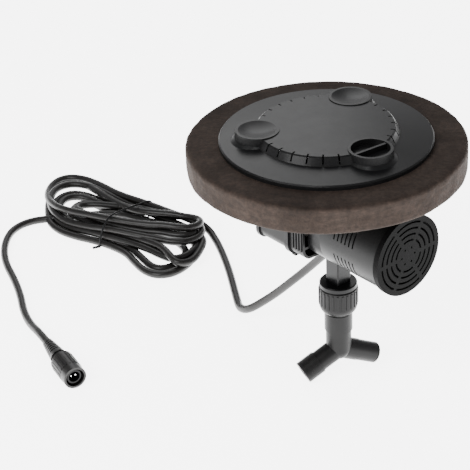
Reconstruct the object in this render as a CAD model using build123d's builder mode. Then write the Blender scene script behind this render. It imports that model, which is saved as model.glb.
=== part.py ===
"""Floating pond aerator: a foam float with a slotted cover, a low-voltage pump slung
below it, a branching outlet, and a cable that is tied in a hank and ends in a plug.

Millimetres, +Z up. The origin is the centre of the float's underside, at the waterline.
"""
from build123d import *
from math import cos, radians, sin, tan
import os

os.makedirs("parts", exist_ok=True)

# ---------------------------------------------------------------- driving dimensions
# Float ring
FOAM_R = 150.0
FOAM_BORE_R = 92.0
FOAM_H = 30.0
FOAM_EDGE = 2.0
REBATE_R = 100.3
REBATE_H = 3.2

# Cover
RIM_R = 114.5
RIM_TOP = 35.4
SHELL = 2.2
PLATEAU_R = 74.4
PLATEAU_TOP = 47.0
WALL_FOOT_R = 78.5
WALL_FOOT_Z = 38.2
SKIRT_R = 91.5
SKIRT_LOW = 8.0
BOSS_AT_R = 73.0
BOSS_TOP_R = 23.6
BOSS_TOP = 48.2
BOSS_BASE = 36.4
BOSS_DRAFT = 6.0
BOSS_FLARE_R = 28.5
BOSS_FLARE_H = 3.6
BOSS_FIRST = 64.5
DISH_R = 20.5
DISH_DEPTH = 3.0
RECESS_R = 20.5
RECESS_FLOOR = 38.6
PLUG_BORE_R = 10.0
SLOT_W = 1.8
SLOT_L = 11.5
SLOT_AT_R = 74.3
SLOT_LOW = 39.6
SLOT_PITCH = 12.7
SLOTS_PER_SECTOR = 6
SECTOR = 120.0
POST_AT_R = 83.5
POST_R = 5.0
POST_FIRST = 4.5
PILOT_R = 1.4

# Base plate under the cover
BASE_R = 100.0
BASE_LOW = 0.0
BASE_H = 3.0
BASE_HOLE_R = 7.0
BASE_HOLES_AT = 58.0
BASE_HOLES = 9

# Pump, measured along its horizontal axis from the outlet's centre line
OUTLET_X = 12.0
PUMP_Z = -69.0
PUMP_AZ = -51.0
HOUSING_W = 86.0
HOUSING_H = 82.0
HOUSING_CORNER = 13.0
HOUSING_WALL = 3.0
HOUSING_BACK = -82.0
HOUSING_FRONT = -10.0
CHAMBER_W = 72.0
CHAMBER_H = 70.0
CHAMBER_CORNER = 16.0
CHAMBER_FRONT = 17.0
CAGE_R = 44.0
CAGE_WALL = 2.2
CAGE_BACK = 17.5
CAGE_FRONT = 100.0
CAP_R = 46.0
CAP_FRONT = 107.0

# Outlet
NECK_SIDE = 20.0
NECK_BORE_R = 8.0
NECK_LOW = -147.5
FLANGE_R = 21.3
FLANGE_LOW = -153.0
SPIGOT_R = 16.4
SPIGOT_LOW = -170.0
NUT_R = 21.8
NUT_TOP = -154.0
NUT_SHOULDER = -176.0
NUT_LOW = -187.5
TAIL_R = 13.5
SOCKET_R = 16.0
SOCKET_LOW = -211.0
STEM_R = 14.6
STEM_BORE_R = 10.4
FORK_Z = -237.0
FORK_TILT = 63.6
FORK_AZ = 22.6
BRANCH_R = 12.2
BRANCH_BORE_R = 8.6
BRANCH_L = 51.0
THREAD_R = 13.3
THREAD_FROM = 29.0
ROOT_R = 12.7
ROOT_L = 25.0

# Cable, hank and connector
FLOOR_Z = -271.0
CABLE_R = 5.0
HANK_LOW = FLOOR_Z + 1.8
HANK_H = 34.0
CONNECTOR_Z = FLOOR_Z + 14.5
CONNECTOR_AZ = -63.1
CONNECTOR_X = -330.0
CONNECTOR_Y = 63.1
COLLAR_R = 14.2

PUMP_AXIS = Vector(cos(radians(PUMP_AZ)), sin(radians(PUMP_AZ)), 0)
PUMP_SIDE = Vector(-sin(radians(PUMP_AZ)), cos(radians(PUMP_AZ)), 0)
BOSS_ANGLES = [BOSS_FIRST + SECTOR * k for k in range(3)]
PLUG_ANGLE = BOSS_ANGLES[2]


def station(along):
    """Plane across the pump, this far along its axis: local x sideways, local y up."""
    centre = Vector(OUTLET_X, 0, PUMP_Z) + PUMP_AXIS * along
    return Plane(origin=centre, x_dir=PUMP_SIDE, z_dir=PUMP_AXIS)


def level(height, x=OUTLET_X, y=0.0):
    """Horizontal plane on the outlet's centre line, square to the pump."""
    return Plane(origin=(x, y, height), x_dir=PUMP_AXIS, z_dir=(0, 0, 1))


def around(radius, angle):
    """A point on a circle about the float's axis."""
    return (radius * cos(radians(angle)), radius * sin(radians(angle)))


def annulus(outer, inner):
    """A ring, drawn in the sketch that is open."""
    Circle(outer)
    Circle(inner, mode=Mode.SUBTRACT)


# ---------------------------------------------------------------- float ring
with BuildPart() as foam_ring:
    with BuildSketch():
        annulus(FOAM_R, FOAM_BORE_R)
    extrude(amount=FOAM_H)
    with BuildSketch():
        annulus(REBATE_R, FOAM_BORE_R)
    extrude(amount=REBATE_H, mode=Mode.SUBTRACT)
    chamfer(foam_ring.edges().group_by(Axis.Z)[-1].sort_by(SortBy.RADIUS)[-1], FOAM_EDGE)
foam_ring.part.label = "foam_ring"
export_step(foam_ring.part, "parts/foam_ring.step")

# ---------------------------------------------------------------- cover
DISH_SPHERE_R = (DISH_R**2 + DISH_DEPTH**2) / (2 * DISH_DEPTH)
CROWN = 1.0
BOSS_HOLLOW_R = 21.2
BOSS_HOLLOW_TOP = 42.4
POST_HOLE_DEPTH = 12.0

with BuildPart() as cover:
    with BuildSketch(Plane.XZ):
        with BuildLine():
            Polyline(
                (0, PLATEAU_TOP + CROWN),
                (PLATEAU_R - 1.5, PLATEAU_TOP),
                (PLATEAU_R, PLATEAU_TOP - 1.2),
                (WALL_FOOT_R, WALL_FOOT_Z),
                (RIM_R - 1.4, RIM_TOP),
                (RIM_R, RIM_TOP - 1.4),
                (RIM_R, FOAM_H),
                (RIM_R - SHELL, FOAM_H),
                (RIM_R - SHELL, RIM_TOP - SHELL),
                (WALL_FOOT_R - SHELL, WALL_FOOT_Z - SHELL),
                (PLATEAU_R - SHELL, PLATEAU_TOP - SHELL),
                (0, PLATEAU_TOP + CROWN - SHELL),
                close=True,
            )
        make_face()
    revolve(axis=Axis.Z)
    for angle in BOSS_ANGLES:
        with BuildSketch(Plane.XY.offset(BOSS_BASE)):
            with Locations(around(BOSS_AT_R, angle)):
                Circle(BOSS_TOP_R + (BOSS_TOP - BOSS_BASE) * tan(radians(BOSS_DRAFT)))
        extrude(amount=BOSS_TOP - BOSS_BASE, taper=BOSS_DRAFT)
        with BuildSketch(Plane.XY.offset(BOSS_BASE)):
            with Locations(around(BOSS_AT_R, angle)):
                Circle(BOSS_FLARE_R)
        extrude(amount=BOSS_FLARE_H, taper=45)
    for angle in BOSS_ANGLES[:2]:
        x, y = around(BOSS_AT_R, angle)
        with Locations((x, y, BOSS_TOP + DISH_SPHERE_R - DISH_DEPTH)):
            Sphere(DISH_SPHERE_R, mode=Mode.SUBTRACT)
        with BuildSketch(Plane.XY.offset(BOSS_BASE - SHELL)):
            with Locations((x, y)):
                Circle(BOSS_HOLLOW_R)
        extrude(amount=BOSS_HOLLOW_TOP - BOSS_BASE + SHELL, mode=Mode.SUBTRACT)
    with BuildSketch(Plane.XY.offset(RECESS_FLOOR)):
        with Locations(around(BOSS_AT_R, PLUG_ANGLE)):
            Circle(RECESS_R)
    extrude(amount=BOSS_TOP, mode=Mode.SUBTRACT)
    with BuildSketch(Plane.XY.offset(BOSS_BASE - SHELL)):
        with Locations(around(BOSS_AT_R, PLUG_ANGLE)):
            annulus(BOSS_HOLLOW_R, PLUG_BORE_R)
    extrude(amount=SHELL, mode=Mode.SUBTRACT)
    with BuildSketch(Plane.XY.offset(BOSS_BASE - SHELL)):
        with Locations(around(BOSS_AT_R, PLUG_ANGLE)):
            Circle(PLUG_BORE_R)
    extrude(amount=BOSS_TOP, mode=Mode.SUBTRACT)
    for k in range(3):
        middle = BOSS_FIRST + SECTOR / 2 + SECTOR * k
        start = middle - SLOT_PITCH * (SLOTS_PER_SECTOR - 1) / 2
        with BuildSketch(Plane.XY.offset(SLOT_LOW)):
            with PolarLocations(SLOT_AT_R, SLOTS_PER_SECTOR, start, SLOT_PITCH * SLOTS_PER_SECTOR):
                Rectangle(SLOT_L, SLOT_W)
        extrude(amount=BOSS_TOP - SLOT_LOW, mode=Mode.SUBTRACT)
    with BuildSketch(Plane.XY.offset(SKIRT_LOW)):
        annulus(SKIRT_R, SKIRT_R - SHELL)
    extrude(amount=BOSS_BASE - SKIRT_LOW - 0.4)
    with BuildSketch(Plane.XY.offset(BASE_LOW + BASE_H)):
        with PolarLocations(POST_AT_R, 3, POST_FIRST):
            Circle(POST_R)
    extrude(amount=BOSS_BASE - BASE_LOW - BASE_H - 0.2)
    with BuildSketch(Plane.XY.offset(BASE_LOW + BASE_H)):
        with PolarLocations(POST_AT_R, 3, POST_FIRST):
            Circle(PILOT_R)
    extrude(amount=POST_HOLE_DEPTH, mode=Mode.SUBTRACT)
cover.part.label = "cover"
export_step(cover.part, "parts/cover.step")

# ---------------------------------------------------------------- base plate and its screws
HEAD_R = 3.4
HEAD_H = 2.2
SCREW_CLEAR_R = 1.7
HANGER_SCREW_S = 15.0
HANGER_SCREW_W = 20.0
HANGER_MIDDLE = -38.0

with BuildPart() as base_plate:
    with BuildSketch(Plane.XY.offset(BASE_LOW)):
        Circle(BASE_R)
        with PolarLocations(POST_AT_R, 3, POST_FIRST):
            Circle(SCREW_CLEAR_R, mode=Mode.SUBTRACT)
        with PolarLocations(BASE_HOLES_AT, BASE_HOLES, POST_FIRST + 20):
            Circle(BASE_HOLE_R, mode=Mode.SUBTRACT)
    extrude(amount=BASE_H)
    with BuildSketch(level(BASE_LOW)):
        with Locations((HANGER_MIDDLE, 0)):
            with GridLocations(2 * HANGER_SCREW_S, 2 * HANGER_SCREW_W, 2, 2):
                Circle(SCREW_CLEAR_R)
    extrude(amount=BASE_H, mode=Mode.SUBTRACT)
base_plate.part.label = "base_plate"
export_step(base_plate.part, "parts/base_plate.step")

with BuildPart() as cover_screws:
    with BuildSketch(Plane.XY.offset(BASE_LOW - HEAD_H)):
        with PolarLocations(POST_AT_R, 3, POST_FIRST):
            Circle(HEAD_R)
    extrude(amount=HEAD_H)
    with BuildSketch(Plane.XY.offset(BASE_LOW)):
        with PolarLocations(POST_AT_R, 3, POST_FIRST):
            Circle(PILOT_R)
    extrude(amount=BASE_H + POST_HOLE_DEPTH - 1)
cover_screws.part.label = "cover_screws"
export_step(cover_screws.part, "parts/cover_screws.step")

# ---------------------------------------------------------------- twist plug in the open boss
PLUG_R = 20.1
PLUG_LOW = RECESS_FLOOR + 0.3
PLUG_H = 2.6
PLUG_GROOVE_R = 18.5
PLUG_WEB_T = 3.0
PLUG_WEB_L = 39.4
PLUG_WEB_TOP = 47.6
PLUG_WEB_ANGLE = 32.7
PLUG_STEM_R = 9.93
PLUG_STEM_LOW = 32.6
CLIP_R = 13.0
CLIP_LOW = 33.6
CLIP_H = 2.2
SEAL_WIRE_R = 0.8

plug_x, plug_y = around(BOSS_AT_R, PLUG_ANGLE)
with BuildPart() as twist_plug:
    with BuildSketch(Plane.XY.offset(PLUG_LOW)):
        with Locations((plug_x, plug_y)):
            Circle(PLUG_R)
    extrude(amount=PLUG_H)
    with BuildSketch(Plane.XY.offset(PLUG_LOW + 0.5)):
        with Locations((plug_x, plug_y)):
            annulus(PLUG_R + 1, PLUG_GROOVE_R)
    extrude(amount=2 * SEAL_WIRE_R, mode=Mode.SUBTRACT)
    with BuildSketch(Plane.XY.offset(PLUG_LOW + PLUG_H)):
        with Locations((plug_x, plug_y)):
            Rectangle(PLUG_WEB_L, PLUG_WEB_T, rotation=PLUG_WEB_ANGLE)
    extrude(amount=PLUG_WEB_TOP - PLUG_LOW - PLUG_H)
    with BuildSketch(Plane.XY.offset(PLUG_STEM_LOW)):
        with Locations((plug_x, plug_y)):
            Circle(PLUG_STEM_R)
    extrude(amount=PLUG_LOW - PLUG_STEM_LOW)
twist_plug.part.label = "twist_plug"
export_step(twist_plug.part, "parts/twist_plug.step")

with BuildPart() as plug_seal:
    with Locations((plug_x, plug_y, PLUG_LOW + 0.5 + SEAL_WIRE_R)):
        Torus(PLUG_GROOVE_R + SEAL_WIRE_R, SEAL_WIRE_R)
plug_seal.part.label = "plug_seal"
export_step(plug_seal.part, "parts/plug_seal.step")

with BuildPart() as plug_clip:
    with BuildSketch(Plane.XY.offset(CLIP_LOW)):
        with Locations((plug_x, plug_y)):
            annulus(CLIP_R, PLUG_STEM_R)
    extrude(amount=CLIP_H)
plug_clip.part.label = "plug_clip"
export_step(plug_clip.part, "parts/plug_clip.step")

# ---------------------------------------------------------------- hanger, its screws and strap
HANGER_L = 50.0
HANGER_W = 54.0
HANGER_T = 3.0
COLUMN_L = 22.0
COLUMN_W = 32.0
HOUSING_TOP = PUMP_Z + HOUSING_H / 2
HOUSING_BOTTOM = PUMP_Z - HOUSING_H / 2

with BuildPart() as hanger:
    with BuildSketch(level(BASE_LOW - HANGER_T)):
        with Locations((HANGER_MIDDLE, 0)):
            RectangleRounded(HANGER_L, HANGER_W, 6)
            with GridLocations(2 * HANGER_SCREW_S, 2 * HANGER_SCREW_W, 2, 2):
                Circle(PILOT_R, mode=Mode.SUBTRACT)
    extrude(amount=HANGER_T)
    with BuildSketch(level(HOUSING_TOP)):
        with Locations((HANGER_MIDDLE, 0)):
            RectangleRounded(COLUMN_L, COLUMN_W, 4)
            RectangleRounded(COLUMN_L - 2 * HANGER_T, COLUMN_W - 2 * HANGER_T, 2, mode=Mode.SUBTRACT)
    extrude(amount=BASE_LOW - HANGER_T - HOUSING_TOP)
    with BuildSketch(level(HOUSING_TOP)):
        with Locations((HANGER_MIDDLE, 0)):
            RectangleRounded(HANGER_L, HANGER_W, 6)
    extrude(amount=HANGER_T)
hanger.part.label = "hanger"
export_step(hanger.part, "parts/hanger.step")

with BuildPart() as hanger_screws:
    with BuildSketch(level(BASE_LOW + BASE_H)):
        with Locations((HANGER_MIDDLE, 0)):
            with GridLocations(2 * HANGER_SCREW_S, 2 * HANGER_SCREW_W, 2, 2):
                Circle(HEAD_R)
    extrude(amount=HEAD_H)
    with BuildSketch(level(BASE_LOW - HANGER_T)):
        with Locations((HANGER_MIDDLE, 0)):
            with GridLocations(2 * HANGER_SCREW_S, 2 * HANGER_SCREW_W, 2, 2):
                Circle(PILOT_R)
    extrude(amount=BASE_H + HANGER_T)
hanger_screws.part.label = "hanger_screws"
export_step(hanger_screws.part, "parts/hanger_screws.step")

STRAP_BACK = -38.0
STRAP_L = 6.0
STRAP_T = 2.6
STRAP_EAR = 9.0

with BuildPart() as pump_strap:
    with BuildSketch(station(STRAP_BACK)):
        RectangleRounded(HOUSING_W + 2 * STRAP_T, HOUSING_H + 2 * STRAP_T, HOUSING_CORNER + STRAP_T)
        RectangleRounded(HOUSING_W, HOUSING_H, HOUSING_CORNER, mode=Mode.SUBTRACT)
        with Locations((0, HOUSING_H / 2)):
            Rectangle(HANGER_W + 1, 4 * STRAP_T, mode=Mode.SUBTRACT)
        with Locations((-HOUSING_W / 2 + HOUSING_CORNER, -HOUSING_H / 2 - STRAP_T)):
            Rectangle(STRAP_EAR, 2 * STRAP_T)
    extrude(amount=STRAP_L)
pump_strap.part.label = "pump_strap"
export_step(pump_strap.part, "parts/pump_strap.step")

# ---------------------------------------------------------------- motor housing
CAVITY_W = HOUSING_W - 2 * HOUSING_WALL
CAVITY_H = HOUSING_H - 2 * HOUSING_WALL
FIN_T = 1.8
FIN_PROUD = 1.2
FIN_H = 58.0
FIN_STEP = 4.4
FIN_FIRST = -27.0
FINS = 4
BOLT_X = 26.5
BOLT_Y = 25.5
BOLT_R = 1.5
BOLT_BOSS_R = 4.5
BOLT_DEPTH = 16.0
BOLT_WEB_L = 16.0
BOLT_WEB_T = 3.0
GLAND_LEAN = 41.0
GLAND_AT = (-17.0, 20.0)
GLAND_BOSS_R = 8.2
GLAND_BOSS_L = 7.0

gland_root = station(GLAND_AT[0]).origin + PUMP_SIDE * GLAND_AT[1]
gland_root = Vector(gland_root.X, gland_root.Y, HOUSING_BOTTOM)
gland_way = PUMP_AXIS * -sin(radians(GLAND_LEAN)) + Vector(0, 0, -cos(radians(GLAND_LEAN)))


def gland_plane(along):
    """Plane across the cable's exit, this far out from the housing's underside."""
    return Plane(origin=gland_root + gland_way * along, z_dir=gland_way)


with BuildPart() as motor_housing:
    with BuildSketch(station(HOUSING_BACK)):
        RectangleRounded(HOUSING_W, HOUSING_H, HOUSING_CORNER)
    extrude(amount=HOUSING_FRONT - HOUSING_BACK)
    with BuildSketch(gland_plane(-2)):
        Circle(GLAND_BOSS_R)
    extrude(amount=GLAND_BOSS_L + 2)
    with BuildSketch(station(HOUSING_BACK)):
        RectangleRounded(CAVITY_W, CAVITY_H, HOUSING_CORNER - HOUSING_WALL)
    extrude(amount=HOUSING_FRONT - HOUSING_BACK, mode=Mode.SUBTRACT)
    with BuildSketch(station(HOUSING_FRONT - BOLT_DEPTH)):
        with GridLocations(2 * BOLT_X, 2 * BOLT_Y, 2, 2):
            Circle(BOLT_BOSS_R)
        with GridLocations(2 * BOLT_X + BOLT_WEB_L, 2 * BOLT_Y, 2, 2):
            Rectangle(BOLT_WEB_L, BOLT_WEB_T)
        with GridLocations(2 * BOLT_X, 2 * BOLT_Y, 2, 2):
            Circle(BOLT_R, mode=Mode.SUBTRACT)
    extrude(amount=BOLT_DEPTH)
    for k in range(FINS):
        with BuildSketch(station(FIN_FIRST + FIN_STEP * k)):
            with GridLocations(HOUSING_W, 0, 2, 1):
                Rectangle(2 * FIN_PROUD, FIN_H)
            Rectangle(CAVITY_W, FIN_H, mode=Mode.SUBTRACT)
        extrude(amount=FIN_T)
motor_housing.part.label = "motor_housing"
export_step(motor_housing.part, "parts/motor_housing.step")

END_CAP_T = 6.0
END_CAP_PROUD = 1.6
END_CAP_PLUG = 5.0

with BuildPart() as motor_end_cap:
    with BuildSketch(station(HOUSING_BACK - END_CAP_T)):
        RectangleRounded(HOUSING_W + 2 * END_CAP_PROUD, HOUSING_H + 2 * END_CAP_PROUD, HOUSING_CORNER)
    extrude(amount=END_CAP_T)
    with BuildSketch(station(HOUSING_BACK)):
        RectangleRounded(CAVITY_W - 0.4, CAVITY_H - 0.4, HOUSING_CORNER - HOUSING_WALL)
        RectangleRounded(CAVITY_W - 5, CAVITY_H - 5, HOUSING_CORNER - HOUSING_WALL - 2, mode=Mode.SUBTRACT)
    extrude(amount=END_CAP_PLUG)
    fillet(motor_end_cap.faces().sort_by(SortBy.AREA)[-1].edges(), 1.6)
motor_end_cap.part.label = "motor_end_cap"
export_step(motor_end_cap.part, "parts/motor_end_cap.step")

# ---------------------------------------------------------------- stator, coils and rotor can
CAN_R = 15.2
CAN_BORE_R = 13.6
CAN_BACK = -80.0
CAN_FLOOR = 2.0
CAN_FLANGE_R = 25.0
CAN_FLANGE_T = 2.0
CORE_W = 64.0
CORE_H = 56.0
CORE_BACK = -66.0
CORE_L = 36.0
WINDOW_W = 8.4
WINDOW_H = 36.0
WINDOW_X = 22.0
LIMB_X = 29.1
LIMB_W = 5.8
COIL_T = 6.2
COIL_H = 33.0

with BuildPart() as rotor_can:
    with BuildSketch(station(CAN_BACK)):
        Circle(CAN_R)
    extrude(amount=HOUSING_FRONT - CAN_BACK)
    with BuildSketch(station(HOUSING_FRONT - CAN_FLANGE_T)):
        Circle(CAN_FLANGE_R)
    extrude(amount=CAN_FLANGE_T)
    with BuildSketch(station(CAN_BACK + CAN_FLOOR)):
        Circle(CAN_BORE_R)
    extrude(amount=HOUSING_FRONT - CAN_BACK - CAN_FLOOR, mode=Mode.SUBTRACT)
rotor_can.part.label = "rotor_can"
export_step(rotor_can.part, "parts/rotor_can.step")

with BuildPart() as stator_core:
    with BuildSketch(station(CORE_BACK)):
        RectangleRounded(CORE_W, CORE_H, 4)
        Circle(CAN_R, mode=Mode.SUBTRACT)
        with GridLocations(2 * WINDOW_X, 0, 2, 1):
            Rectangle(WINDOW_W, WINDOW_H, mode=Mode.SUBTRACT)
    extrude(amount=CORE_L)
stator_core.part.label = "stator_core"
export_step(stator_core.part, "parts/stator_core.step")


def make_coil(side):
    """A winding around one outer limb of the core: a ring in plan, upright sides."""
    plane = station(CORE_BACK + CORE_L / 2)
    plane = Plane(
        origin=plane.origin + PUMP_SIDE * (side * LIMB_X) - Vector(0, 0, COIL_H / 2),
        x_dir=PUMP_SIDE,
        z_dir=(0, 0, 1),
    )
    with BuildPart() as coil:
        with BuildSketch(plane):
            RectangleRounded(LIMB_W + 2 * COIL_T, CORE_L + 2 * COIL_T, COIL_T - 0.5)
            Rectangle(LIMB_W + 0.2, CORE_L + 0.2, mode=Mode.SUBTRACT)
        extrude(amount=COIL_H)
    return coil


near_coil = make_coil(-1)
near_coil.part.label = "near_coil"
export_step(near_coil.part, "parts/near_coil.step")

far_coil = make_coil(1)
far_coil.part.label = "far_coil"
export_step(far_coil.part, "parts/far_coil.step")

# ---------------------------------------------------------------- shaft, bushes, rotor, impeller
SHAFT_R = 2.0
SHAFT_BACK = -77.0
SHAFT_FRONT = 16.0
BUSH_CLEAR = 0.06
REAR_BUSH_R = 7.0
REAR_BUSH_L = 5.0
FRONT_BUSH_R = 4.0
FRONT_BUSH_L = 4.0
CHAMBER_WALL = 3.0
MAGNET_R = 12.8
MAGNET_BACK = -70.0
MAGNET_L = 42.0
SLEEVE_R = 4.6
SLEEVE_BACK = -72.4
VANE_R = 21.0
VANE_T = 1.8
VANES = 6
VANE_BACK = -4.0
VANE_L = 11.0
BACKPLATE_R = 12.6
VOLUTE_R = 26.0
INLET_R = 13.0

with BuildPart() as pump_shaft:
    with BuildSketch(station(SHAFT_BACK)):
        Circle(SHAFT_R)
    extrude(amount=SHAFT_FRONT - SHAFT_BACK)
pump_shaft.part.label = "pump_shaft"
export_step(pump_shaft.part, "parts/pump_shaft.step")

with BuildPart() as rear_bush:
    with BuildSketch(station(CAN_BACK + CAN_FLOOR)):
        Circle(REAR_BUSH_R)
    extrude(amount=REAR_BUSH_L)
    with BuildSketch(station(SHAFT_BACK)):
        Circle(SHAFT_R)
    extrude(amount=REAR_BUSH_L, mode=Mode.SUBTRACT)
rear_bush.part.label = "rear_bush"
export_step(rear_bush.part, "parts/rear_bush.step")

with BuildPart() as front_bush:
    with BuildSketch(station(CHAMBER_FRONT - FRONT_BUSH_L)):
        Circle(FRONT_BUSH_R)
    extrude(amount=FRONT_BUSH_L)
    with BuildSketch(station(CHAMBER_FRONT - FRONT_BUSH_L)):
        Circle(SHAFT_R)
    extrude(amount=SHAFT_FRONT - CHAMBER_FRONT + FRONT_BUSH_L, mode=Mode.SUBTRACT)
front_bush.part.label = "front_bush"
export_step(front_bush.part, "parts/front_bush.step")

with BuildPart() as rotor_magnet:
    with BuildSketch(station(MAGNET_BACK)):
        annulus(MAGNET_R, SLEEVE_R)
    extrude(amount=MAGNET_L)
rotor_magnet.part.label = "rotor_magnet"
export_step(rotor_magnet.part, "parts/rotor_magnet.step")

with BuildPart() as impeller:
    with BuildSketch(station(SLEEVE_BACK)):
        Circle(SLEEVE_R)
    extrude(amount=VANE_BACK + VANE_L - SLEEVE_BACK)
    with BuildSketch(station(MAGNET_BACK + MAGNET_L + 2)):
        Circle(BACKPLATE_R)
    extrude(amount=VANE_BACK - MAGNET_BACK - MAGNET_L - 2)
    with BuildSketch(station(VANE_BACK)):
        with PolarLocations(VANE_R / 2, VANES):
            Rectangle(VANE_R, VANE_T)
    extrude(amount=VANE_L)
    with BuildSketch(station(SLEEVE_BACK)):
        Circle(SHAFT_R + BUSH_CLEAR)
    extrude(amount=VANE_BACK + VANE_L - SLEEVE_BACK, mode=Mode.SUBTRACT)
impeller.part.label = "impeller"
export_step(impeller.part, "parts/impeller.step")

# ---------------------------------------------------------------- pump chamber
SPIGOT_COLLAR_R = 41.3
SPIGOT_COLLAR_L = 4.0
SPIDER_W = 3.0
CHAMBER_BOTTOM = PUMP_Z - CHAMBER_H / 2
BOLT_HEAD_R = 2.9
SEAL_MAJOR_R = 20.0

with BuildPart() as pump_chamber:
    with BuildSketch(station(HOUSING_FRONT)):
        RectangleRounded(CHAMBER_W, CHAMBER_H, CHAMBER_CORNER)
    extrude(amount=CHAMBER_FRONT - HOUSING_FRONT)
    with BuildSketch(station(CHAMBER_FRONT)):
        Circle(SPIGOT_COLLAR_R - 3)
    extrude(amount=SPIGOT_COLLAR_L)
    with BuildSketch(station(CHAMBER_FRONT + 1)):
        Circle(SPIGOT_COLLAR_R)
    extrude(amount=SPIGOT_COLLAR_L)
    with BuildSketch(station(CHAMBER_FRONT)):
        Circle(INLET_R)
    extrude(amount=SPIGOT_COLLAR_L + 1, mode=Mode.SUBTRACT)
    with BuildSketch(station(HOUSING_FRONT + CHAMBER_WALL)):
        Circle(VOLUTE_R)
    extrude(amount=CHAMBER_FRONT - HOUSING_FRONT - 2 * CHAMBER_WALL, mode=Mode.SUBTRACT)
    with BuildSketch(station(HOUSING_FRONT)):
        Circle(CAN_BORE_R)
    extrude(amount=CHAMBER_WALL, mode=Mode.SUBTRACT)
    with BuildSketch(station(CHAMBER_FRONT - CHAMBER_WALL)):
        Circle(INLET_R)
        for turn in (0, 60, 120):
            Rectangle(2 * INLET_R, SPIDER_W, rotation=turn, mode=Mode.SUBTRACT)
    extrude(amount=CHAMBER_WALL, mode=Mode.SUBTRACT)
    with BuildSketch(station(CHAMBER_FRONT - FRONT_BUSH_L)):
        Circle(FRONT_BUSH_R)
    extrude(amount=FRONT_BUSH_L, mode=Mode.SUBTRACT)
    with BuildSketch(station(HOUSING_FRONT)):
        annulus(SEAL_MAJOR_R + SEAL_WIRE_R, SEAL_MAJOR_R - SEAL_WIRE_R)
    extrude(amount=2 * SEAL_WIRE_R, mode=Mode.SUBTRACT)
    with BuildSketch(level(CHAMBER_BOTTOM)):
        Circle(NECK_BORE_R)
    extrude(amount=CHAMBER_H / 2 - VOLUTE_R + 4, mode=Mode.SUBTRACT)
    with BuildSketch(station(HOUSING_FRONT)):
        with GridLocations(2 * BOLT_X, 2 * BOLT_Y, 2, 2):
            Circle(SCREW_CLEAR_R)
    extrude(amount=CHAMBER_FRONT - HOUSING_FRONT + SPIGOT_COLLAR_L + 1, mode=Mode.SUBTRACT)
pump_chamber.part.label = "pump_chamber"
export_step(pump_chamber.part, "parts/pump_chamber.step")

with BuildPart() as chamber_seal:
    with BuildSketch(station(HOUSING_FRONT + SEAL_WIRE_R)):
        annulus(SEAL_MAJOR_R + SEAL_WIRE_R, SEAL_MAJOR_R - SEAL_WIRE_R)
    extrude(amount=SEAL_WIRE_R, both=True)
chamber_seal.part.label = "chamber_seal"
export_step(chamber_seal.part, "parts/chamber_seal.step")

COLLAR_FACE = CHAMBER_FRONT + 1 + SPIGOT_COLLAR_L
BOLT_HEAD_H = 2.4

with BuildPart() as chamber_bolts:
    with BuildSketch(station(HOUSING_FRONT - BOLT_DEPTH + 2)):
        with GridLocations(2 * BOLT_X, 2 * BOLT_Y, 2, 2):
            Circle(BOLT_R)
    extrude(amount=COLLAR_FACE - HOUSING_FRONT + BOLT_DEPTH - 2)
    with BuildSketch(station(COLLAR_FACE)):
        with GridLocations(2 * BOLT_X, 2 * BOLT_Y, 2, 2):
            Circle(BOLT_HEAD_R)
    extrude(amount=BOLT_HEAD_H)
chamber_bolts.part.label = "chamber_bolts"
export_step(chamber_bolts.part, "parts/chamber_bolts.step")

# ---------------------------------------------------------------- filter cage, sponge, grille cap
CAGE_SLOT_FIRST = 38.0
CAGE_SLOT_STEP = 5.6
CAGE_SLOT_W = 1.8
CAGE_SLOT_SPAN = 22.0
CAGE_SLOTS = 6
CAGE_ROWS = 8
SPONGE_R = 37.8
SPONGE_BORE_R = 20.0
SPONGE_BACK = 30.0
SPONGE_L = 58.0
CAP_BACK = 100.5
CAP_FACE_T = 2.6
CAP_SPIGOT_R = 41.2
CAP_SPIGOT_T = 2.4
CAP_SPIGOT_BACK = 93.0
GRILLE_RINGS = (38.6, 31.8, 25.0, 18.2)
GRILLE_SLOT_W = 2.2
GRILLE_SPOKE_W = 4.6
GRILLE_HOLES_AT = 9.6
GRILLE_HOLE_R = 1.2
GRILLE_SPOKES = 6

with BuildPart() as filter_cage:
    with BuildSketch(station(CAGE_BACK)):
        annulus(CAGE_R, CAGE_R - CAGE_WALL)
    extrude(amount=CAGE_FRONT - CAGE_BACK)
    for k in range(CAGE_SLOTS):
        with BuildSketch(station(CAGE_SLOT_FIRST + CAGE_SLOT_STEP * k)):
            with PolarLocations(CAGE_R, CAGE_ROWS, 180 / CAGE_ROWS):
                Rectangle(5 * CAGE_WALL, 2 * CAGE_R * sin(radians(CAGE_SLOT_SPAN / 2)))
        extrude(amount=CAGE_SLOT_W, mode=Mode.SUBTRACT)
filter_cage.part.label = "filter_cage"
export_step(filter_cage.part, "parts/filter_cage.step")

with BuildPart() as filter_sponge:
    with BuildSketch(station(SPONGE_BACK)):
        annulus(SPONGE_R, SPONGE_BORE_R)
    extrude(amount=SPONGE_L)
filter_sponge.part.label = "filter_sponge"
export_step(filter_sponge.part, "parts/filter_sponge.step")

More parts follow.
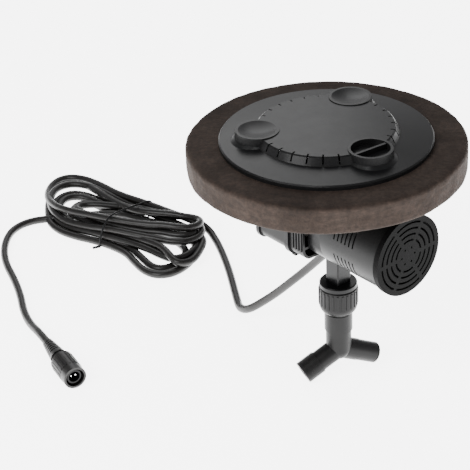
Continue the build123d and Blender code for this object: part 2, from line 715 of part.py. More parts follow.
with BuildPart() as grille_cap:
    with BuildSketch(station(CAP_BACK)):
        annulus(CAP_R, CAP_SPIGOT_R - 1)
    extrude(amount=CAP_FRONT - CAP_BACK)
    with BuildSketch(station(CAP_FRONT - CAP_FACE_T)):
        Circle(CAP_R - 1)
    extrude(amount=CAP_FACE_T)
    with BuildSketch(station(CAP_SPIGOT_BACK)):
        annulus(CAP_SPIGOT_R, CAP_SPIGOT_R - CAP_SPIGOT_T)
    extrude(amount=CAP_FRONT - CAP_SPIGOT_BACK - 1)
    with BuildSketch(station(CAP_FRONT - CAP_FACE_T)):
        for ring in GRILLE_RINGS:
            Circle(ring + GRILLE_SLOT_W / 2)
            Circle(ring - GRILLE_SLOT_W / 2, mode=Mode.SUBTRACT)
        with PolarLocations(CAP_R / 2, GRILLE_SPOKES):
            Rectangle(CAP_R, GRILLE_SPOKE_W, mode=Mode.SUBTRACT)
        with PolarLocations(GRILLE_HOLES_AT, GRILLE_SPOKES):
            Circle(GRILLE_HOLE_R)
    extrude(amount=CAP_FACE_T, mode=Mode.SUBTRACT)
grille_cap.part.label = "grille_cap"
export_step(grille_cap.part, "parts/grille_cap.step")

# ---------------------------------------------------------------- outlet neck, union and fork
SEAL_LOW = -173.0
SEAL_BORE_R = 9.0
NUT_BORE_R = 16.8
NUT_FLOOR = -178.4
NUT_MOUTH_R = 13.9
NUT_LIP_R = 15.4
NUT_RIBS = 24
NUT_RIB_W = 2.6
NUT_RIB_PROUD = 0.7
TAIL_FLANGE_TOP = -173.2
TAIL_FLANGE_H = 5.0
TAIL_LOW = -203.0
SOCKET_TOP = -188.0

outlet_side = Plane(origin=(OUTLET_X, 0, 0), x_dir=(1, 0, 0), z_dir=(0, -1, 0))
outlet_axis = Axis((OUTLET_X, 0, 0), (0, 0, 1))

with BuildPart() as outlet_neck:
    with BuildSketch(level(NECK_LOW)):
        RectangleRounded(NECK_SIDE, NECK_SIDE, 1.5)
        Circle(NECK_BORE_R, mode=Mode.SUBTRACT)
    extrude(amount=CHAMBER_BOTTOM - NECK_LOW)
outlet_neck.part.label = "outlet_neck"
export_step(outlet_neck.part, "parts/outlet_neck.step")

with BuildPart() as union_spigot:
    with BuildSketch(level(FLANGE_LOW)):
        annulus(FLANGE_R, NECK_BORE_R)
    extrude(amount=NECK_LOW - FLANGE_LOW)
    with BuildSketch(level(SPIGOT_LOW)):
        annulus(SPIGOT_R, NECK_BORE_R)
    extrude(amount=FLANGE_LOW - SPIGOT_LOW)
    chamfer(union_spigot.edges().group_by(Axis.Z)[-1].sort_by(SortBy.RADIUS)[-1], 1.2)
union_spigot.part.label = "union_spigot"
export_step(union_spigot.part, "parts/union_spigot.step")

with BuildPart() as union_seal:
    with BuildSketch(level(SEAL_LOW)):
        annulus(SPIGOT_R - 0.4, SEAL_BORE_R)
    extrude(amount=SPIGOT_LOW - SEAL_LOW)
union_seal.part.label = "union_seal"
export_step(union_seal.part, "parts/union_seal.step")

with BuildPart() as union_nut:
    with BuildSketch(outlet_side):
        with BuildLine():
            Polyline((NUT_LIP_R, NUT_LOW), (NUT_MOUTH_R, NUT_LOW), (NUT_MOUTH_R, NUT_FLOOR),
                     (NUT_BORE_R, NUT_FLOOR), (NUT_BORE_R, NUT_TOP), (NUT_R - 1, NUT_TOP),
                     (NUT_R, NUT_TOP - 1), (NUT_R, NUT_SHOULDER))
            ThreePointArc((NUT_R, NUT_SHOULDER), (NUT_R - 1.4, (NUT_SHOULDER + NUT_LOW) / 2 - 0.4),
                          (NUT_LIP_R, NUT_LOW))
        make_face()
    revolve(axis=outlet_axis)
    with BuildSketch(level(NUT_SHOULDER + 0.5)):
        with PolarLocations(NUT_R, NUT_RIBS):
            Rectangle(2 * NUT_RIB_PROUD, NUT_RIB_W)
    extrude(amount=NUT_TOP - NUT_SHOULDER - 3)
union_nut.part.label = "union_nut"
export_step(union_nut.part, "parts/union_nut.step")

with BuildPart() as swivel_tail:
    with BuildSketch(level(TAIL_LOW)):
        annulus(TAIL_R, STEM_BORE_R)
    extrude(amount=TAIL_FLANGE_TOP - TAIL_LOW)
    with BuildSketch(level(TAIL_FLANGE_TOP - TAIL_FLANGE_H)):
        annulus(SPIGOT_R, STEM_BORE_R)
    extrude(amount=TAIL_FLANGE_H)
swivel_tail.part.label = "swivel_tail"
export_step(swivel_tail.part, "parts/swivel_tail.step")


def branch_plane(side, along=0.0):
    """Plane across a branch, this far from the fork; side is -1 at the left, 1 at the right."""
    flat = sin(radians(FORK_TILT))
    way = Vector(
        side * flat * cos(radians(FORK_AZ)),
        side * flat * sin(radians(FORK_AZ)),
        -cos(radians(FORK_TILT)),
    )
    return Plane(origin=Vector(OUTLET_X, 0, FORK_Z) + way * along, z_dir=way)


with BuildPart() as outlet_fork:
    with BuildSketch(level(SOCKET_LOW)):
        Circle(SOCKET_R)
    extrude(amount=SOCKET_TOP - SOCKET_LOW)
    with BuildSketch(level(FORK_Z)):
        Circle(STEM_R)
    extrude(amount=SOCKET_LOW - FORK_Z)
    with Locations((OUTLET_X, 0, FORK_Z)):
        Sphere(STEM_R)
    for side in (-1, 1):
        with BuildSketch(branch_plane(side)):
            Circle(BRANCH_R)
        extrude(amount=BRANCH_L)
    with BuildSketch(branch_plane(1)):
        Circle(ROOT_R)
    extrude(amount=ROOT_L)
    with BuildSketch(branch_plane(-1, THREAD_FROM)):
        Circle(THREAD_R)
    extrude(amount=BRANCH_L - THREAD_FROM)
    with BuildSketch(level(TAIL_LOW)):
        Circle(TAIL_R)
    extrude(amount=SOCKET_TOP - TAIL_LOW, mode=Mode.SUBTRACT)
    with BuildSketch(level(FORK_Z)):
        Circle(STEM_BORE_R)
    extrude(amount=TAIL_LOW - FORK_Z, mode=Mode.SUBTRACT)
    for side in (-1, 1):
        with BuildSketch(branch_plane(side)):
            Circle(BRANCH_BORE_R)
        extrude(amount=BRANCH_L, mode=Mode.SUBTRACT)
    with Locations((OUTLET_X, 0, FORK_Z)):
        Sphere(STEM_BORE_R, mode=Mode.SUBTRACT)
outlet_fork.part.label = "outlet_fork"
export_step(outlet_fork.part, "parts/outlet_fork.step")

# ---------------------------------------------------------------- cable gland at the pump
GLAND_NUT_R = 9.2
GLAND_NUT_L = 7.0
BOOT_R = 7.0
BOOT_L = 14.0
BOOT_DRAFT = 4.0

with BuildPart() as gland_nut:
    with BuildSketch(gland_plane(GLAND_BOSS_L)):
        RegularPolygon(GLAND_NUT_R, 6)
    extrude(amount=GLAND_NUT_L)
gland_nut.part.label = "gland_nut"
export_step(gland_nut.part, "parts/gland_nut.step")

with BuildPart() as gland_boot:
    with BuildSketch(gland_plane(GLAND_BOSS_L + GLAND_NUT_L)):
        Circle(BOOT_R)
    extrude(amount=BOOT_L, taper=BOOT_DRAFT)
gland_boot.part.label = "gland_boot"
export_step(gland_boot.part, "parts/gland_boot.step")

# ---------------------------------------------------------------- cable
# From the pump down to the floor, along it and up over the end of the hank
LEAD_ROUTE = [
    (5.3, 40.1, -131.1),
    (-10.5, 59.6, -160.0),
    (-35.0, 77.0, -193.0),
    (-62.0, 97.5, -229.0),
    (-98.0, 120.5, -265.9),
    (-104.5, 170.0, -265.9),
    (-109.5, 214.0, -265.9),
    (-116.5, 257.0, -265.9),
    (-125.0, 296.0, -265.9),
    (-138.0, 328.0, -260.0),
    (-169.0, 339.0, -246.0),
    (-207.0, 334.0, -247.0),
]
# From the far end of the hank round to the connector
TAIL_ROUTE = [
    (-330.0, 367.0, -260.0),
    (-350.0, 377.5, -264.5),
    (-382.0, 375.0, -265.9),
    (-404.0, 352.0, -265.9),
    (-409.5, 311.0, -265.9),
    (-403.0, 268.0, -265.9),
    (-387.0, 226.0, -265.9),
    (-375.0, 186.0, -265.9),
    (-368.0, 150.0, -265.9),
    (-357.0, 118.0, -264.5),
    (-340.0, 82.7, -256.5),
    (-330.0, 63.1, -256.5),
]


def corner_radii(route):
    """As large an arc at each corner as its two runs allow."""
    points = [Vector(*point) for point in route]
    radii = []
    for before, corner, after in zip(points, points[1:], points[2:]):
        half_turn = (corner - before).get_angle(after - corner) / 2
        shorter = min((corner - before).length, (after - corner).length)
        radii.append(0.45 * shorter / tan(radians(half_turn)))
    return radii


def make_cable(route):
    """A round tube along straight runs joined by tangent arcs."""
    radii = corner_radii(route)
    with BuildPart() as cable:
        with BuildLine() as path:
            FilletPolyline(*route, radius=radii)
        wire = path.wires()[0]
        with BuildSketch(Plane(origin=wire @ 0, z_dir=wire % 0)):
            Circle(CABLE_R)
        sweep(path=wire)
    length = wire.length
    section = Circle(CABLE_R).area
    print("cable length", round(length, 1), "volume ratio", round(cable.part.volume / (section * length), 4))
    print("bend radii", [round(radius, 1) for radius in radii])
    return cable


cable_lead = make_cable(LEAD_ROUTE)
cable_lead.part.label = "cable_lead"
export_step(cable_lead.part, "parts/cable_lead.step")

cable_tail = make_cable(TAIL_ROUTE)
cable_tail.part.label = "cable_tail"
export_step(cable_tail.part, "parts/cable_tail.step")

# ---------------------------------------------------------------- hank and its tie
HANK_OUTLINE = [
    (-356.0, 362.0),
    (-343.0, 344.0),
    (-316.0, 324.0),
    (-271.0, 302.0),
    (-213.0, 279.0),
    (-152.0, 254.0),
    (-134.0, 286.0),
    (-139.0, 322.0),
    (-173.0, 346.0),
    (-213.0, 374.0),
    (-251.0, 410.0),
]
LOOP_OUTLINE = [
    (-363.0, 376.0),
    (-316.0, 324.0),
    (-251.0, 408.0),
    (-281.0, 452.0),
    (-308.0, 479.0),
    (-336.0, 482.0),
    (-358.0, 462.0),
    (-366.0, 420.0),
]
LOOP_H = 21.0
DROOP_OUTLINE = [
    (-243.0, 284.0),
    (-227.0, 241.0),
    (-198.0, 208.0),
    (-162.0, 199.0),
    (-137.0, 222.0),
    (-135.0, 262.0),
    (-190.0, 290.0),
]
DROOP_H = 17.0
HANK_CORNER = 12.0
HANK_EDGE = 5.0
TIE_X = -242.8
TIE_Y = 338.7
TIE_AZ = 52.0
TIE_HALF = 47.5
TIE_GAP = 0.4
TIE_T = 1.2
TIE_W = 3.0

with BuildPart() as cable_hank:
    with BuildSketch(Plane.XY.offset(HANK_LOW)):
        with BuildLine():
            FilletPolyline(*HANK_OUTLINE, radius=HANK_CORNER, close=True)
        make_face()
    extrude(amount=HANK_H)
    fillet(cable_hank.edges().group_by(Axis.Z)[-1], HANK_EDGE)
    with BuildSketch(Plane.XY.offset(HANK_LOW)):
        with BuildLine():
            FilletPolyline(*LOOP_OUTLINE, radius=HANK_CORNER, close=True)
        make_face()
    extrude(amount=LOOP_H)
    with BuildSketch(Plane.XY.offset(HANK_LOW)):
        with BuildLine():
            FilletPolyline(*DROOP_OUTLINE, radius=HANK_CORNER, close=True)
        make_face()
    extrude(amount=DROOP_H)
cable_hank.part.label = "cable_hank"
export_step(cable_hank.part, "parts/cable_hank.step")

tie_way = Vector(cos(radians(TIE_AZ)), sin(radians(TIE_AZ)), 0)
tie_plane = Plane(
    origin=(TIE_X, TIE_Y, HANK_LOW + HANK_H / 2),
    x_dir=tie_way,
    z_dir=(sin(radians(TIE_AZ)), -cos(radians(TIE_AZ)), 0),
)
with BuildPart() as twist_tie:
    with BuildSketch(tie_plane):
        Rectangle(2 * (TIE_HALF + TIE_T), HANK_H + 2 * (TIE_GAP + TIE_T))
        Rectangle(2 * TIE_HALF, HANK_H + 2 * TIE_GAP, mode=Mode.SUBTRACT)
    extrude(amount=TIE_W / 2, both=True)
twist_tie.part.label = "twist_tie"
export_step(twist_tie.part, "parts/twist_tie.step")

# ---------------------------------------------------------------- connector on the cable's end
CONNECTOR_BOOT_L = 36.0
CONNECTOR_BOOT_R = 10.4
CABLE_GRIP_R = 6.2
BOOT_RINGS = 6
RING_STEP = 4.6
RING_W = 1.5
RING_DEPTH = 1.1
BODY_STEPS = ((36.0, 12.0, 9.4), (48.0, 4.0, 10.6), (52.0, 12.0, 9.9), (64.0, 17.0, 8.6))
SOCKET_BORE_R = 6.8
SOCKET_BACK = 67.0
BODY_FRONT = 81.0
PIN_R = 1.15
PIN_OFFSET = 2.7
PIN_BACK = 62.0
PIN_L = 16.0
SEAL_AT = 72.0
SEAL_R = 0.9
COLLAR_BACK = 44.0
COLLAR_FRONT = 84.0
COLLAR_LIP_L = 3.5
COLLAR_LIP_R = 9.8
COLLAR_BORE_R = 11.1
COLLAR_RIBS = 20
COLLAR_RIB_L = 24.0
COLLAR_RIB_PROUD = 0.5

connector_start = Vector(CONNECTOR_X, CONNECTOR_Y, CONNECTOR_Z)
connector_way = Vector(cos(radians(CONNECTOR_AZ)), sin(radians(CONNECTOR_AZ)), 0)


def connector_plane(along):
    """Plane across the connector, this far from the cable's end of it."""
    side = Vector(-connector_way.Y, connector_way.X, 0)
    return Plane(origin=connector_start + connector_way * along, x_dir=side, z_dir=connector_way)


with BuildPart() as connector_boot:
    with BuildSketch(Plane(origin=connector_start, x_dir=connector_way, z_dir=(0, 0, 1))):
        with BuildLine():
            Polyline((0, 0), (0, CABLE_GRIP_R), (CONNECTOR_BOOT_L, CONNECTOR_BOOT_R),
                     (CONNECTOR_BOOT_L, 0), close=True)
        make_face()
    revolve(axis=Axis(connector_start, connector_way))
    for k in range(BOOT_RINGS):
        along = RING_STEP * (k + 1)
        wall = CABLE_GRIP_R + (CONNECTOR_BOOT_R - CABLE_GRIP_R) * along / CONNECTOR_BOOT_L
        with BuildSketch(connector_plane(along)):
            annulus(CONNECTOR_BOOT_R + 1, wall - RING_DEPTH)
        extrude(amount=RING_W, mode=Mode.SUBTRACT)
connector_boot.part.label = "connector_boot"
export_step(connector_boot.part, "parts/connector_boot.step")

with BuildPart() as connector_body:
    for start, length, radius in BODY_STEPS:
        with BuildSketch(connector_plane(start)):
            Circle(radius)
        extrude(amount=length)
    with BuildSketch(connector_plane(SOCKET_BACK)):
        Circle(SOCKET_BORE_R)
    extrude(amount=BODY_FRONT - SOCKET_BACK, mode=Mode.SUBTRACT)
    with BuildSketch(connector_plane(PIN_BACK)):
        with GridLocations(2 * PIN_OFFSET, 0, 2, 1):
            Circle(PIN_R)
    extrude(amount=SOCKET_BACK - PIN_BACK, mode=Mode.SUBTRACT)
connector_body.part.label = "connector_body"
export_step(connector_body.part, "parts/connector_body.step")

with BuildPart() as contact_pins:
    with BuildSketch(connector_plane(PIN_BACK)):
        with GridLocations(2 * PIN_OFFSET, 0, 2, 1):
            Circle(PIN_R)
    extrude(amount=PIN_L)
    chamfer(contact_pins.edges().filter_by(GeomType.CIRCLE).group_by(Axis(connector_start, connector_way))[-1], 0.4)
contact_pins.part.label = "contact_pins"
export_step(contact_pins.part, "parts/contact_pins.step")

with BuildPart() as connector_seal:
    with BuildSketch(connector_plane(SEAL_AT - SEAL_R)):
        annulus(BODY_STEPS[-1][2] + 2 * SEAL_R, BODY_STEPS[-1][2])
    extrude(amount=2 * SEAL_R)
    fillet(connector_seal.edges().filter_by(GeomType.CIRCLE).sort_by(SortBy.RADIUS)[-2:], 0.6)
connector_seal.part.label = "connector_seal"
export_step(connector_seal.part, "parts/connector_seal.step")

with BuildPart() as collar_nut:
    with BuildSketch(connector_plane(COLLAR_BACK)):
        Circle(COLLAR_R - COLLAR_RIB_PROUD)
    extrude(amount=COLLAR_FRONT - COLLAR_BACK)
    with BuildSketch(connector_plane(COLLAR_BACK + COLLAR_LIP_L)):
        with PolarLocations(COLLAR_R - COLLAR_RIB_PROUD, COLLAR_RIBS):
            Rectangle(2 * COLLAR_RIB_PROUD, 2)
    extrude(amount=COLLAR_RIB_L)
    with BuildSketch(connector_plane(COLLAR_BACK + COLLAR_LIP_L)):
        Circle(COLLAR_BORE_R)
    extrude(amount=COLLAR_FRONT - COLLAR_BACK - COLLAR_LIP_L, mode=Mode.SUBTRACT)
    with BuildSketch(connector_plane(COLLAR_BACK)):
        Circle(COLLAR_LIP_R)
    extrude(amount=COLLAR_LIP_L, mode=Mode.SUBTRACT)
collar_nut.part.label = "collar_nut"
export_step(collar_nut.part, "parts/collar_nut.step")
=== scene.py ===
"""A floating pond aerator: foam ring, slotted cover, pump, forked outlet and tied cable."""
import math

import bmesh
import bpy
from mathutils import Matrix, Vector
from mathutils import noise as lumps


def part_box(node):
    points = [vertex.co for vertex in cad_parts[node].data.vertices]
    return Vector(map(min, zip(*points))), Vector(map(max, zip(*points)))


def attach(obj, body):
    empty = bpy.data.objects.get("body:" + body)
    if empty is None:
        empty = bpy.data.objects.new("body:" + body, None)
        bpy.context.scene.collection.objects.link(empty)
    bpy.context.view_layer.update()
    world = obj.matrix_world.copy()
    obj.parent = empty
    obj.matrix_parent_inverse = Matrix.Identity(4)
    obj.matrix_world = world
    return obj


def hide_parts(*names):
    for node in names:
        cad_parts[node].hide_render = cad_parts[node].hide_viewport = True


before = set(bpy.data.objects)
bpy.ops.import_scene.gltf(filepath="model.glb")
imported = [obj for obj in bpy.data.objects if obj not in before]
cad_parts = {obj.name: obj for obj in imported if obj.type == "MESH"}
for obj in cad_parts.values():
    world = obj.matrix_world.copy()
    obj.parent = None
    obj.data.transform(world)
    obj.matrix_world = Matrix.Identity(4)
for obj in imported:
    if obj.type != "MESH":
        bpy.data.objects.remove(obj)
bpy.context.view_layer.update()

FLOOR = -0.2716
CABLE_R = 0.0050


def node(name):
    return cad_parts[name]


def new_object(name, data, body):
    piece = bpy.data.objects.new(name, data)
    bpy.context.scene.collection.objects.link(piece)
    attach(piece, body)
    return piece


# ---------------------------------------------------------------- camera
LENS_MM = 118.5
SENSOR_MM = 36.0
CAMERA_PLACE = (-0.1012, -1.4669, 0.7764)
CAMERA_DOWN = math.radians(30.36)
CAMERA_ROLL = math.radians(-2.61)


def place_camera():
    data = bpy.data.cameras.new("camera")
    data.lens = LENS_MM
    data.sensor_width = SENSOR_MM
    camera = bpy.data.objects.new("camera", data)
    bpy.context.scene.collection.objects.link(camera)
    look = Matrix.Rotation(math.radians(90) - CAMERA_DOWN, 4, "X")
    roll = Matrix.Rotation(CAMERA_ROLL, 4, "Z")
    camera.matrix_world = Matrix.Translation(CAMERA_PLACE) @ look @ roll
    bpy.context.scene.camera = camera


place_camera()


# ---------------------------------------------------------------- materials
def material(name, metallic=0.0, specular=0.5):
    made = bpy.data.materials.new(name)
    made.use_nodes = True
    shader = made.node_tree.nodes["Principled BSDF"]
    shader.inputs["Metallic"].default_value = metallic
    shader.inputs["Specular IOR Level"].default_value = specular
    return made, made.node_tree, shader


def noise(tree, scale, detail=4.0, rough=0.55, stretch=(1, 1, 1), distort=0.0):
    place = tree.nodes.new("ShaderNodeTexCoord")
    mapping = tree.nodes.new("ShaderNodeMapping")
    mapping.inputs["Scale"].default_value = stretch
    made = tree.nodes.new("ShaderNodeTexNoise")
    made.inputs["Scale"].default_value = scale
    made.inputs["Detail"].default_value = detail
    made.inputs["Roughness"].default_value = rough
    made.inputs["Distortion"].default_value = distort
    tree.links.new(place.outputs["Object"], mapping.inputs["Vector"])
    tree.links.new(mapping.outputs["Vector"], made.inputs["Vector"])
    return made.outputs["Fac"]


def ramp(tree, source, stops):
    made = tree.nodes.new("ShaderNodeValToRGB")
    while len(made.color_ramp.elements) < len(stops):
        made.color_ramp.elements.new(0.5)
    for element, (at, colour) in zip(made.color_ramp.elements, stops):
        element.position = at
        element.color = (*colour, 1.0)
    tree.links.new(source, made.inputs["Fac"])
    return made.outputs["Color"]


def between(tree, source, low, high):
    made = tree.nodes.new("ShaderNodeMapRange")
    made.inputs["To Min"].default_value = low
    made.inputs["To Max"].default_value = high
    tree.links.new(source, made.inputs["Value"])
    return made.outputs["Result"]


def mixed(tree, share, first, second, mode="MIX"):
    made = tree.nodes.new("ShaderNodeMix")
    made.data_type = "RGBA"
    made.blend_type = mode
    if isinstance(share, float):
        made.inputs["Factor"].default_value = share
    else:
        tree.links.new(share, made.inputs["Factor"])
    tree.links.new(first, made.inputs["A"])
    tree.links.new(second, made.inputs["B"])
    return made.outputs["Result"]


def bump(tree, shader, source, strength, distance):
    made = tree.nodes.new("ShaderNodeBump")
    made.inputs["Strength"].default_value = strength
    made.inputs["Distance"].default_value = distance
    tree.links.new(source, made.inputs["Height"])
    tree.links.new(made.outputs["Normal"], shader.inputs["Normal"])


def plastic(name, dark, light, rough=(0.32, 0.5), grain=900.0, depth=0.00012, specular=0.5):
    """Moulded plastic: a fine grain, faint cloudiness and handling marks in the gloss."""
    made, tree, shader = material(name, specular=specular)
    cloud = noise(tree, 26.0, 5.0)
    colour = ramp(tree, cloud, [(0.3, dark), (0.7, light)])
    tree.links.new(colour, shader.inputs["Base Color"])
    smear = noise(tree, 60.0, 6.0, 0.65, (1, 1, 0.4))
    tree.links.new(between(tree, smear, rough[0], rough[1]), shader.inputs["Roughness"])
    bump(tree, shader, noise(tree, grain, 3.0), 0.35, depth)
    return made


def rubber(name, dark, light, rough=(0.38, 0.55), grain=1400.0):
    made, tree, shader = material(name, specular=0.3)
    cloud = noise(tree, 40.0, 5.0)
    tree.links.new(ramp(tree, cloud, [(0.3, dark), (0.7, light)]), shader.inputs["Base Color"])
    tree.links.new(between(tree, noise(tree, 90.0, 6.0), rough[0], rough[1]), shader.inputs["Roughness"])
    bump(tree, shader, noise(tree, grain, 2.0), 0.3, 0.0001)
    return made


def metal(name, dark, light, rough=(0.2, 0.4), stretch=(1, 1, 1)):
    made, tree, shader = material(name, metallic=1.0)
    lines = noise(tree, 500.0, 3.0, 0.5, stretch)
    tree.links.new(ramp(tree, lines, [(0.3, dark), (0.7, light)]), shader.inputs["Base Color"])
    tree.links.new(between(tree, lines, rough[0], rough[1]), shader.inputs["Roughness"])
    bump(tree, shader, lines, 0.1, 0.00005)
    return made


COVER = plastic("cover_plastic", (0.0050, 0.0050, 0.0052), (0.0075, 0.0075, 0.0078),
                (0.26, 0.36), 700.0, 0.00004, 0.14)
CAGE = plastic("cage_plastic", (0.0040, 0.0040, 0.0040), (0.0065, 0.0064, 0.0064),
               (0.30, 0.42), specular=0.13)
GRILLE = plastic("grille_plastic", (0.0030, 0.0030, 0.0030), (0.0048, 0.0047, 0.0047),
                 (0.34, 0.48), specular=0.02)
PUMP_GREY = plastic("pump_grey_plastic", (0.0050, 0.0049, 0.0049), (0.0080, 0.0078, 0.0078),
                    (0.28, 0.40), specular=0.13)
PUMP_BLACK = plastic("pump_black_plastic", (0.0025, 0.0025, 0.0028), (0.0045, 0.0045, 0.0048),
                     (0.24, 0.36), specular=0.16)
CABLE = rubber("cable_rubber", (0.0042, 0.0038, 0.0035), (0.0070, 0.0063, 0.0058), (0.30, 0.44))
SEAL = rubber("seal_rubber", (0.008, 0.008, 0.008), (0.014, 0.014, 0.014), (0.6, 0.75))
STEEL = metal("screw_steel", (0.42, 0.42, 0.43), (0.62, 0.62, 0.63), (0.25, 0.45), (1, 1, 6))
PINS = metal("pin_metal", (0.62, 0.61, 0.60), (0.85, 0.84, 0.83), (0.12, 0.25))
MAGNET = plastic("ferrite", (0.02, 0.02, 0.022), (0.04, 0.04, 0.042), (0.5, 0.7), 500.0, 0.0002)
CORE = metal("laminations", (0.22, 0.21, 0.2), (0.34, 0.33, 0.32), (0.4, 0.6), (1, 1, 30))
POTTED = plastic("potted_winding", (0.012, 0.008, 0.006), (0.022, 0.014, 0.010),
                 (0.25, 0.4), 300.0, 0.0002, 0.2)
TIE = plastic("tie_coating", (0.004, 0.004, 0.0045), (0.007, 0.007, 0.0075), (0.35, 0.5), specular=0.12)
SPONGE = rubber("sponge", (0.006, 0.006, 0.007), (0.02, 0.02, 0.022), (0.85, 0.95), 260.0)


def foam_material():
    """Closed-cell foam: brown charcoal, mottled, with fine open cells and paler worn places."""
    made, tree, shader = material("foam", specular=0.12)
    broad = noise(tree, 16.0, 6.0, 0.62, distort=0.4)
    base = ramp(tree, broad, [(0.32, (0.0175, 0.0122, 0.0096)), (0.50, (0.0280, 0.0200, 0.0162)),
                              (0.68, (0.040, 0.0295, 0.0242))])
    fine = noise(tree, 210.0, 5.0, 0.7)
    speck = ramp(tree, fine, [(0.38, (0.55, 0.55, 0.55)), (0.62, (1.15, 1.12, 1.1))])
    colour = mixed(tree, 0.7, base, speck, "MULTIPLY")
    upright = noise(tree, 30.0, 6.0, 0.7, (1, 1, 7), 0.6)
    streak = ramp(tree, upright, [(0.36, (0.62, 0.60, 0.58)), (0.64, (1.3, 1.3, 1.3))])
    colour = mixed(tree, 0.5, colour, streak, "MULTIPLY")
    tree.links.new(colour, shader.inputs["Base Color"])
    tree.links.new(between(tree, fine, 0.72, 0.9), shader.inputs["Roughness"])
    bump(tree, shader, fine, 0.7, 0.0010)
    return made


FOAM = foam_material()

FINISHES = {
    "cover": COVER, "twist_plug": COVER, "plug_clip": PUMP_BLACK, "base_plate": PUMP_BLACK,
    "hanger": PUMP_BLACK, "pump_strap": PUMP_BLACK, "motor_housing": PUMP_GREY,
    "motor_end_cap": PUMP_BLACK, "rotor_can": PUMP_BLACK, "stator_core": CORE, "near_coil": POTTED,
    "far_coil": POTTED, "pump_shaft": STEEL, "rear_bush": SEAL, "front_bush": SEAL,
    "pump_chamber": PUMP_BLACK, "chamber_seal": SEAL, "chamber_bolts": STEEL, "outlet_neck": PUMP_BLACK,
    "union_spigot": PUMP_BLACK, "union_seal": SEAL, "gland_nut": PUMP_BLACK, "gland_boot": CABLE,
    "connector_boot": CABLE, "connector_body": PUMP_BLACK, "contact_pins": PINS,
    "connector_seal": SEAL, "impeller": PUMP_GREY, "rotor_magnet": MAGNET, "plug_seal": SEAL,
    "union_nut": PUMP_GREY, "outlet_fork": PUMP_GREY, "swivel_tail": PUMP_GREY,
    "filter_cage": CAGE, "filter_sponge": SPONGE, "grille_cap": GRILLE, "collar_nut": CABLE,
    "cover_screws": STEEL, "hanger_screws": STEEL, "foam_ring": FOAM,
}
for name, finish in FINISHES.items():
    made = node(name)
    made.data.materials.clear()
    made.data.materials.append(finish)


# ---------------------------------------------------------------- cable
LEAD_ROUTE = [
    (0.0053, 0.0401, -0.1311),
    (-0.0105, 0.0596, -0.1600),
    (-0.0350, 0.0770, -0.1930),
    (-0.0620, 0.0975, -0.2290),
    (-0.0980, 0.1205, -0.2659),
    (-0.1045, 0.1700, -0.2659),
    (-0.1095, 0.2140, -0.2659),
    (-0.1165, 0.2570, -0.2659),
    (-0.1250, 0.2960, -0.2659),
    (-0.1380, 0.3280, -0.2600),
    (-0.1690, 0.3370, -0.2450),
]
TAIL_ROUTE = [
    (-0.3500, 0.3775, -0.2645),
    (-0.3820, 0.3750, -0.2659),
    (-0.4040, 0.3520, -0.2659),
    (-0.4095, 0.3110, -0.2659),
    (-0.4030, 0.2680, -0.2659),
    (-0.3870, 0.2260, -0.2659),
    (-0.3750, 0.1860, -0.2659),
    (-0.3680, 0.1500, -0.2659),
    (-0.3570, 0.1180, -0.2645),
    (-0.3400, 0.0827, -0.2565),
    (-0.3300, 0.0631, -0.2565),
]
# The hank's own axes: along runs from its loose end to its folded end, across runs to the back
HANK_MIDDLE = Vector((-0.250, 0.3295, 0.0))
ALONG = Vector((0.788, -0.616, 0.0))
ACROSS = Vector((0.616, 0.788, 0.0))


# Heights in TURNS were set for a thinner cable: the lowest is 4, and the layers are spread for this one
LOWEST_LAYER = 4
LOWEST_MM = 5.6
LAYER_SPREAD = 1.3


def on_floor(along, across, height):
    """A point from millimetres along the hank, across it and above the floor."""
    flat = HANK_MIDDLE + ALONG * (along / 1000) + ACROSS * (across / 1000)
    return (flat.x, flat.y, FLOOR + height / 1000)


def in_hank(along, across, layer):
    """A point of the cable's middle, with its layer turned into a height above the floor."""
    return on_floor(along, across, LOWEST_MM + LAYER_SPREAD * max(layer - LOWEST_LAYER, 0))


